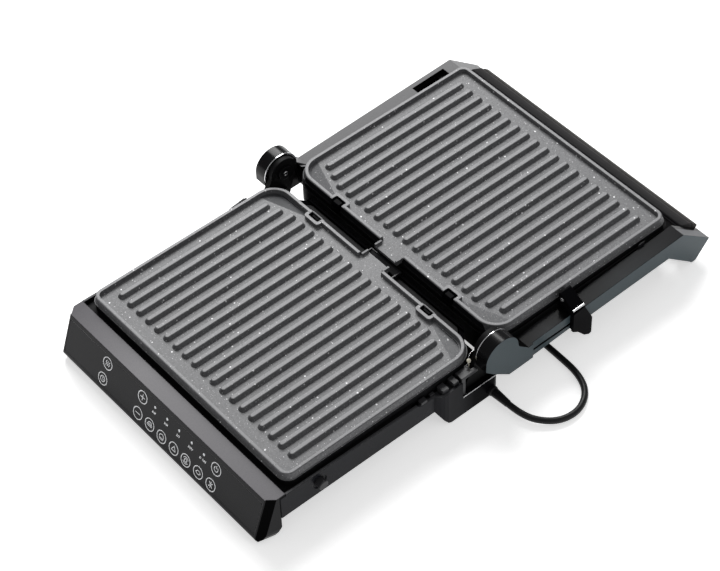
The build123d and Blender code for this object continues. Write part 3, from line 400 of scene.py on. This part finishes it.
def bar_paint(m, out, r, fine):
    """Brown black bar painted with light and shade: painted shadow by the plate, a painted highlight growing towards
    its ridge, a black line, then a painted highlight on the outer edge.
    """
    y = m.axis("Y")
    out = m.ramp(m.range(y, 0.2500, 0.2780, 0.0, 1.0), [(0.0, (0.006, 0.006, 0.007, 1)), (0.22, (0.012, 0.012, 0.013, 1)), (0.48, (0.026, 0.025, 0.026, 1)), (0.62, (0.046, 0.044, 0.044, 1)),
                                                        (0.64, (0.010, 0.009, 0.009, 1)), (0.70, (0.012, 0.011, 0.010, 1)), (0.73, (0.032, 0.030, 0.028, 1)), (1.0, (0.044, 0.041, 0.038, 1))])
    out = m.mix(m.range(fine, 0.35, 0.65, 0.0, 0.25), out, (0.020, 0.018, 0.017, 1))
    return out, r, blend(m, 0.05, 0.02, m.step(m.axis("Z", "nrm"), 0.4, 0.1))


MAT = {}
MAT["plate_low"] = plate_material("granite_coating_lower", 0.0575, -1)
MAT["plate_up"] = plate_material("granite_coating_upper", 0.0585, 1)
MAT["black"] = moulded("satin_black_plastic", (0.014, 0.014, 0.016, 1), rough=0.36)
MAT["clip"] = moulded("clip_dark_grey", (0.0030, 0.0030, 0.0036, 1), rough=0.36, specular=0.012)
MAT["black_wall"] = moulded("base_black_plastic", (0.0080, 0.0084, 0.0108, 1), rough=0.30, specular=0.28, paint=base_paint)
MAT["rack"] = moulded("rack_black_plastic", (0.034, 0.034, 0.037, 1), rough=0.34, specular=0.26)
MAT["deep"] = moulded("inner_black_plastic", (0.003, 0.003, 0.0035, 1), rough=0.6, specular=0.12)
MAT["console"] = moulded("console_gloss_and_painted_sheen", (0.0055, 0.0055, 0.0068, 1), rough=0.14, depth=0.03, edge=0.0009, specular=0.24, paint=console_paint)
MAT["glass"] = moulded("touch_panel_gloss", (0.0055, 0.0055, 0.0068, 1), rough=0.12, depth=0.0, edge=0.0, vary=0.1, specular=0.11)
# the arm materials carry painted sheen and painted reflection on their tops
MAT["arm_right"] = moulded("arm_finish_and_painted_sheen_right", (0.050, 0.062, 0.070, 1), rough=0.30, depth=0.10, vary=0.10, specular=0.14, paint=arm_paint(1))
MAT["arm_left"] = moulded("arm_finish_and_painted_sheen_left", (0.050, 0.062, 0.070, 1), rough=0.30, depth=0.10, vary=0.10, specular=0.20, paint=arm_paint(-1))
MAT["handle"] = moulded("handle_brown_black", (0.015, 0.0135, 0.013, 1), rough=0.44, depth=0.12, paint=bar_paint)
MAT["chrome"] = metal("chrome_ring", (0.86, 0.86, 0.88, 1), rough=0.12, stretch=(60, 60, 60), depth=0.02)
MAT["steel"] = metal("bright_steel", (0.70, 0.70, 0.71, 1), rough=0.25, stretch=(900, 900, 900), depth=0.05)
MAT["dark_steel"] = metal("blackened_steel", (0.05, 0.05, 0.055, 1), rough=0.35, stretch=(900, 900, 900), depth=0.05)
MAT["sheet"] = metal("aluminised_sheet", (0.62, 0.62, 0.60, 1), rough=0.38, stretch=(30, 700, 700), depth=0.08)
MAT["element"] = metal("element_sheath", (0.32, 0.30, 0.28, 1), rough=0.45, stretch=(200, 200, 200), depth=0.10)
MAT["ceramic"] = moulded("cream_ceramic", (0.72, 0.68, 0.56, 1), rough=0.45, depth=0.1, vary=0.06, edge=0.0002)
MAT["board"] = moulded("circuit_board", (0.02, 0.10, 0.045, 1), rough=0.35, grain=600, vary=0.3, edge=0.0001)
MAT["cord"] = moulded("cord_jacket", (0.007, 0.007, 0.008, 1), rough=0.42, grain=700, depth=0.2, edge=0.0003, specular=0.25)
MAT["rubber"] = moulded("rubber_pad", (0.014, 0.014, 0.014, 1), rough=0.75, grain=800, depth=0.35, edge=0.0004)
MAT["brass"] = metal("brass_pins", (0.78, 0.60, 0.28, 1), rough=0.22, stretch=(40, 900, 900), depth=0.05)

ASSIGN = {
    "plate_low": ["lower_plate"],
    "plate_up": ["upper_plate"],
    "black_wall": ["base_housing"],
    "rack": ["height_rack", "rack_shelf", "lower_release_button"],
    "black": ["drip_tray", "drain_chute", "upper_release_tab"],
    "clip": ["height_clip", "lower_hooks", "upper_hooks"],
    "deep": ["base_top_frame", "upper_frame", "upper_housing", "lower_release_guide", "upper_release_stop", "handle_end_plugs", "arm_covers",
             "terminal_block", "hinge_post_right", "hinge_post_left"],
    "console": ["console_shell"],
    "glass": ["touch_glass"],
    "arm_right": ["arm_right"],
    "arm_left": ["arm_left"],
    "handle": ["handle_bar"],
    "chrome": ["hub_ring_right", "hub_ring_left"],
    "dark_steel": ["hinge_pin_right", "hinge_pin_left", "float_pins"],
    "steel": ["base_screws", "handle_screws", "clip_pin", "clip_screw", "upper_frame_screws", "lower_release_spring", "upper_release_spring"],
    "sheet": ["lower_reflector", "upper_reflector", "lower_sensor", "upper_sensor"],
    "element": ["lower_heater", "upper_heater", "lower_heater_clips", "upper_heater_clips"],
    "ceramic": ["ceramic_bead", "thermal_fuse"],
    "board": ["touch_board", "power_board", "power_board_parts", "indicator_leds"],
    "cord": ["strain_relief", "power_cord", "cord_coil", "mains_plug"],
    "rubber": ["rubber_feet", "lid_rest_pads"],
    "brass": ["plug_pins"],
}
for key, names in ASSIGN.items():
    for n in names:
        o = nodes[n]
        o.data.materials.clear()
        o.data.materials.append(MAT[key])

# ---- mains cord ----------------------------------------------------------------------------------
D = 0.0066
ZC = D / 2 + 0.00005
COIL = (0.046, 0.119)
RO, RI, TURNS = 0.041, 0.0311, 3.0
ROUTE = [(0.181, -0.004, 0.0076), (0.193, -0.004, 0.0076), (0.211, 0.002, 0.0060), (0.2263, 0.0194, 0.0042), (0.2287, 0.0426, ZC),
         (0.217, 0.0628, ZC), (0.1956, 0.0722, ZC), (0.169, 0.0736, ZC), (0.144, 0.0740, ZC), (0.119, 0.0754, ZC), (0.095, 0.0774, ZC),
         (0.071, 0.078, ZC)]


def cord():
    pts = list(ROUTE)
    per = 14
    n = int(per * TURNS)
    scale = 1.0 / math.cos(math.pi / per) ** 0.5
    for i in range(n + 1):
        a = -math.pi / 2 - 2 * math.pi * i / per
        t = i / n
        r = (RO + (RI - RO) * (2 * t)) if t < 0.5 else (RI + (RO - RI) * (2 * t - 1))
        # the lower layer runs inwards, then the cord climbs and the upper layer runs out again
        z = ZC + 0.0066 * min(1.0, max(0.0, (t - 0.44) / 0.12))
        pts.append((COIL[0] + r * math.cos(a), COIL[1] + r * math.sin(a), z))
    pts.append((0.033, 0.078, ZC + 0.0066))
    pts.append((0.020, 0.078, ZC + 0.0066))
    c = bpy.data.curves.new("mains_cord", "CURVE")
    c.dimensions = "3D"
    c.bevel_depth = D / 2
    c.bevel_resolution = 5
    c.resolution_u = 8
    c.use_fill_caps = True
    s = c.splines.new("NURBS")
    s.points.add(len(pts) - 1)
    for p, q in zip(s.points, pts):
        p.co = (*q, 1.0)
    s.order_u = 3
    s.use_endpoint_u = True
    o = bpy.data.objects.new("mains_cord", c)
    scene.collection.objects.link(o)
    c.materials.append(MAT["cord"])
    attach(o, "base")
    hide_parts("power_cord", "cord_coil")
    return o


cord()


# ---- printed marks on the touch glass ------------------------------------------------------------
FT, FB = Vector((0, -0.2610, 0.0516)), Vector((0, -0.2765, 0.0080))
V = (FT - FB).normalized()
U = Vector((1, 0, 0))
N = U.cross(V)
FACE_O = (FT + FB) / 2 + N * 0.00006


def mark_material():
    m = Mat("printed_mark", rough=0.4)
    m.base(m.ramp(m.noise(900, 2, 0.5), [(0.3, (0.74, 0.75, 0.77, 1)), (0.7, (0.88, 0.89, 0.91, 1))]))
    return m.m


def led_material():
    m = Mat("indicator_window", rough=0.3)
    m.base(m.ramp(m.noise(900, 2, 0.5), [(0.3, (0.70, 0.72, 0.74, 1)), (0.7, (0.85, 0.87, 0.90, 1))]))
    return m.m


MARK, LED = mark_material(), led_material()


def face_point(x, v, lift=0.0):
    return FACE_O + U * x + V * v + N * lift


def flat_ring(bm, x, v, r, w, n=40, a0=0.0, a1=2 * math.pi):
    """A thin printed arc on the panel."""
    closed = abs(a1 - a0 - 2 * math.pi) < 1e-6
    k = n if closed else n + 1
    inner, outer = [], []
    for i in range(k):
        a = a0 + (a1 - a0) * i / n
        inner.append(bm.verts.new(face_point(x + (r - w / 2) * math.cos(a), v + (r - w / 2) * math.sin(a))))
        outer.append(bm.verts.new(face_point(x + (r + w / 2) * math.cos(a), v + (r + w / 2) * math.sin(a))))
    for i in range(k if closed else k - 1):
        j = (i + 1) % k
        bm.faces.new((inner[i], outer[i], outer[j], inner[j]))


def flat_line(bm, x, v, pts, w):
    for (x0, y0), (x1, y1) in zip(pts, pts[1:]):
        d = Vector((x1 - x0, y1 - y0))
        if d.length < 1e-9:
            continue
        n = Vector((-d.y, d.x)).normalized() * (w / 2)
        e = d.normalized() * (w * 0.35)
        q = [(x0 - e.x + n.x, y0 - e.y + n.y), (x0 - e.x - n.x, y0 - e.y - n.y), (x1 + e.x - n.x, y1 + e.y - n.y), (x1 + e.x + n.x, y1 + e.y + n.y)]
        bm.faces.new([bm.verts.new(face_point(x + a, v + b)) for a, b in reversed(q)])


def flat_disc(bm, x, v, r, n=24):
    bm.faces.new([bm.verts.new(face_point(x + r * math.cos(2 * math.pi * i / n), v + r * math.sin(2 * math.pi * i / n))) for i in range(n)])


def mesh_piece(name, bm, mat, body):
    bmesh.ops.recalc_face_normals(bm, faces=bm.faces)
    me = bpy.data.meshes.new(name)
    bm.to_mesh(me)
    bm.free()
    me.materials.append(mat)
    o = bpy.data.objects.new(name, me)
    scene.collection.objects.link(o)
    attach(o, body)
    return o


def touch_marks():
    bm = bmesh.new()
    R, W = 0.0064, 0.00090
    mm = 0.001
    keys = {"a": (-82.4, 9.7), "b": (-84.9, -10.0), "plus": (-28.4, 9.8), "minus": (-30.1, -10.3), "c": (-12.0, -10.4), "d": (6.2, -11.1),
            "e": (24.5, -11.0), "f": (42.4, -11.1), "g": (60.7, -11.0), "h": (79.1, -11.2), "power": (81.0, 8.7)}
    for x, v in keys.values():
        flat_ring(bm, x * mm, v * mm, R, W)

    def at(k):
        return keys[k][0] * mm, keys[k][1] * mm
    lw = 0.00082
    x, v = at("plus")
    flat_line(bm, x, v, [(-0.0032, 0), (0.0032, 0)], lw)
    flat_line(bm, x, v, [(0, -0.0032), (0, 0.0032)], lw)
    x, v = at("minus")
    flat_line(bm, x, v, [(-0.0032, 0), (0.0032, 0)], lw)
    # generic pictograms: heat waves, timer, lock, thick slice, thin slice, double slice, leaf shape, flame shape
    x, v = at("a")
    for k in (-1, 0, 1):
        flat_line(bm, x, v, [(k * 0.0022 - 0.0004, -0.0026), (k * 0.0022 + 0.0005, -0.0009), (k * 0.0022 - 0.0004, 0.0009), (k * 0.0022 + 0.0005, 0.0026)], lw)
    x, v = at("b")
    flat_ring(bm, x, v, 0.0031, lw)
    flat_line(bm, x, v, [(0, 0.0018), (0, 0), (0.0014, -0.0008)], lw)
    x, v = at("c")
    flat_line(bm, x, v, [(-0.0032, -0.0014), (0.0032, -0.0014), (0.0032, 0.0004), (-0.0032, 0.0004), (-0.0032, -0.0014)], lw)
    flat_ring(bm, x, v + 0.0004, 0.0026, lw, n=14, a0=0.15, a1=math.pi - 0.15)
    x, v = at("d")
    flat_ring(bm, x, v - 0.0002, 0.0031, lw, n=14, a0=-0.1, a1=math.pi + 0.1)
    flat_line(bm, x, v, [(-0.0031, -0.0014), (0.0031, -0.0014)], lw)
    flat_line(bm, x, v, [(-0.0024, -0.0028), (0.0024, -0.0028)], lw)
    x, v = at("e")
    flat_line(bm, x, v, [(-0.0030, -0.0022), (0.0004, 0.0030), (0.0030, -0.0022), (-0.0030, -0.0022)], lw)
    x, v = at("f")
    flat_ring(bm, x, v, 0.0018, lw, n=18)
    flat_ring(bm, x, v, 0.0036, lw, n=18, a0=0.4, a1=2.7)
    flat_ring(bm, x, v, 0.0036, lw, n=18, a0=3.6, a1=5.8)
    x, v = at("g")
    flat_line(bm, x, v, [(-0.0030, -0.0004), (-0.0008, 0.0020), (0.0018, 0.0018), (0.0032, 0.0), (0.0018, -0.0018), (-0.0008, -0.0020), (-0.0030, -0.0004)], lw)
    x, v = at("h")
    flat_line(bm, x, v, [(-0.0024, -0.0024), (0.0024, 0.0024)], lw)
    flat_line(bm, x, v, [(-0.0024, 0.0024), (0.0024, -0.0024)], lw)
    flat_line(bm, x, v, [(0, -0.0032), (0, 0.0032)], lw)
    x, v = at("power")
    flat_ring(bm, x, v, 0.0026, lw, n=22, a0=math.pi / 2 + 0.6, a1=math.pi / 2 - 0.6 + 2 * math.pi)
    flat_line(bm, x, v, [(0, 0.0006), (0, 0.0036)], lw)
    # small generic bars under the indicator windows
    for lx, w in ((-9.9, 5.6), (8.3, 5.6), (26.2, 4.8), (44.6, 6.8), (62.5, 9.6)):
        n = max(3, int(w / 1.25))
        for i in range(n):
            if w > 9 and i == n // 2 - 1:
                continue
            bx = lx - w / 2 + (i + 0.5) * w / n
            flat_line(bm, bx * mm, 5.4 * mm, [(-0.0003, -0.0012 + 0.0005 * (i % 2)), (0.0003, 0.0012 - 0.0004 * (i % 3 == 1))], 0.00078)
    mesh_piece("touch_marks", bm, MARK, "base")
    bm = bmesh.new()
    for lx in (-9.9, 8.3, 26.2, 44.6, 62.5):
        flat_disc(bm, lx * mm, 11.6 * mm, 0.0014)
    mesh_piece("indicator_windows", bm, LED, "base")


touch_marks()

# ---- small parts -----------------------------------------------------------------------------------
def bevelled_bar(name, lo, hi, bevel, mat, body):
    bm = bmesh.new()
    bmesh.ops.create_cube(bm, size=1.0)
    for v in bm.verts:
        v.co = Vector([(a + b) / 2 + c * (b - a) for a, b, c in zip(lo, hi, v.co)])
    bmesh.ops.bevel(bm, geom=list(bm.edges), offset=bevel, segments=2, affect="EDGES")
    return mesh_piece(name, bm, mat, body)


def wire(name, pts, r, mat, body):
    c = bpy.data.curves.new(name, "CURVE")
    c.dimensions = "3D"
    c.bevel_depth = r
    c.bevel_resolution = 3
    c.use_fill_caps = True
    sp = c.splines.new("NURBS")
    sp.points.add(len(pts) - 1)
    for p, q in zip(sp.points, pts):
        p.co = (*q, 1.0)
    sp.order_u = 3
    sp.use_endpoint_u = True
    o = bpy.data.objects.new(name, c)
    scene.collection.objects.link(o)
    c.materials.append(mat)
    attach(o, body)
    return o


def dome(name, centre, direction, r, h, mat, body):
    """A low rivet head: rings of a flattened half ball."""
    bm = bmesh.new()
    n, rings, prev = 24, 5, None
    d = Vector(direction).normalized()
    u = d.orthogonal().normalized()
    w = d.cross(u)
    base = [bm.verts.new(Vector(centre) + u * r * math.cos(2 * math.pi * i / n) + w * r * math.sin(2 * math.pi * i / n)) for i in range(n)]
    bm.faces.new(list(reversed(base)))
    prev = base
    for k in range(1, rings):
        t = k / rings * math.pi / 2
        ring = [bm.verts.new(Vector(centre) + d * h * math.sin(t) + (u * math.cos(2 * math.pi * i / n) + w * math.sin(2 * math.pi * i / n)) * r * math.cos(t))
                for i in range(n)]
        for i in range(n):
            j = (i + 1) % n
            bm.faces.new((prev[i], prev[j], ring[j], ring[i]))
        prev = ring
    bm.faces.new(prev)
    o = mesh_piece(name, bm, mat, body)
    for p in o.data.polygons:
        p.use_smooth = True
    return o


dome("hinge_stud_left", (-0.14465, 0.0, 0.06325), (1, 0, 0), 0.0026, 0.0010, MAT["steel"], "lid")
dome("hinge_stud_right", (0.14465, 0.0, 0.06325), (-1, 0, 0), 0.0026, 0.0010, MAT["steel"], "lid")
for k, side in (("left", -1), ("right", 1)):
    lo, hi = sorted((side * 0.0884, side * 0.0736))
    bevelled_bar("notch_rail_" + k, (lo, -0.0128, 0.0608), (hi, -0.0114, 0.0620), 0.00035, MAT["plate_low"], "lower_plate_body")
def long_prism(name, pts, x0, x1, bevel, mat, body):
    """A (y, z) outline run along X with its long edges softened."""
    bm = bmesh.new()
    a = [bm.verts.new((x0, y, z)) for y, z in pts]
    b = [bm.verts.new((x1, y, z)) for y, z in pts]
    bm.faces.new(a)
    bm.faces.new(list(reversed(b)))
    edges = []
    for i in range(len(pts)):
        j = (i + 1) % len(pts)
        bm.faces.new((a[i], b[i], b[j], a[j]))
    bm.edges.ensure_lookup_table()
    edges = [e for e in bm.edges if abs(e.verts[0].co.x - e.verts[1].co.x) > 0.01]
    bmesh.ops.bevel(bm, geom=edges, offset=bevel, segments=2, affect="EDGES")
    return mesh_piece(name, bm, mat, body)


long_prism("handle_cap", [(0.2512, 0.0382), (0.2514, 0.0402), (0.2530, 0.0412), (0.2662, 0.0350), (0.2676, 0.0336), (0.2686, 0.0318), (0.2698, 0.0318), (0.2758, 0.0272), (0.2764, 0.0258),
                          (0.2744, 0.0222), (0.2724, 0.0218), (0.2600, 0.0316)], -0.1501, 0.1501, 0.00035, MAT["handle"], "lid")
# bright steel strips along the step of each tower, a painted highlight on its edge, and the bead's two leads
bevelled_bar("ledge_highlight_strip_right", (0.1583, -0.0396, 0.0246), (0.15905, 0.0032, 0.0256), 0.00015, MAT["steel"], "base")
bevelled_bar("ledge_highlight_strip_left", (-0.15905, -0.0396, 0.0246), (-0.1583, 0.0032, 0.0256), 0.00015, MAT["steel"], "base")
wire("bead_lead_low", [(0.1482, -0.0235, 0.0540), (0.1479, -0.0247, 0.0518), (0.1474, -0.0262, 0.0505), (0.1470, -0.0282, 0.0500)], 0.00028, MAT["steel"], "base")
wire("bead_lead_high", [(0.1482, -0.0235, 0.0572), (0.1474, -0.0232, 0.0592), (0.1462, -0.0215, 0.0603), (0.1452, -0.0180, 0.0606), (0.1448, -0.0130, 0.0604)],
     0.00025, MAT["steel"], "base")

# ---- floor and light -----------------------------------------------------------------------------
bm = bmesh.new()
bmesh.ops.create_grid(bm, x_segments=2, y_segments=2, size=6.0)
me = bpy.data.meshes.new("floor")
bm.to_mesh(me)
bm.free()
floor = bpy.data.objects.new("floor", me)
scene.collection.objects.link(floor)
fm = Mat("floor_paper", rough=0.9, specular=0.1)
fm.base(fm.ramp(fm.noise(3, 2, 0.5), [(0.3, (0.93, 0.93, 0.93, 1)), (0.7, (0.95, 0.95, 0.95, 1))]))
fm.b.inputs["Emission Color"].default_value = (1.0, 1.0, 1.0, 1)
fm.b.inputs["Emission Strength"].default_value = 0.55
me.materials.append(fm.m)

world = bpy.data.worlds.new("studio")
scene.world = world
world.use_nodes = True
world.node_tree.nodes["Background"].inputs[0].default_value = (1.0, 1.0, 1.0, 1)
world.node_tree.nodes["Background"].inputs[1].default_value = 0.30


def area(name, loc, target, size, power, size_y=None):
    l = bpy.data.lights.new(name, "AREA")
    l.shape = "RECTANGLE" if size_y else "SQUARE"
    l.size = size
    if size_y:
        l.size_y = size_y
    l.energy = power
    o = bpy.data.objects.new(name, l)
    scene.collection.objects.link(o)
    o.location = loc
    o.rotation_mode = "QUATERNION"
    o.rotation_quaternion = (Vector(target) - Vector(loc)).to_track_quat("-Z", "Y")
    return o


area("key", (-1.85, 1.20, 2.0), (0, 0, 0.03), 1.6, 104, 1.6)
area("fill", (2.2, 0.6, 1.4), (0, 0, 0.03), 1.2, 5, 1.2)

scene.view_settings.view_transform = "Standard"
scene.view_settings.look = "None"
scene.view_settings.exposure = 0.0

bpy.context.view_layer.update()
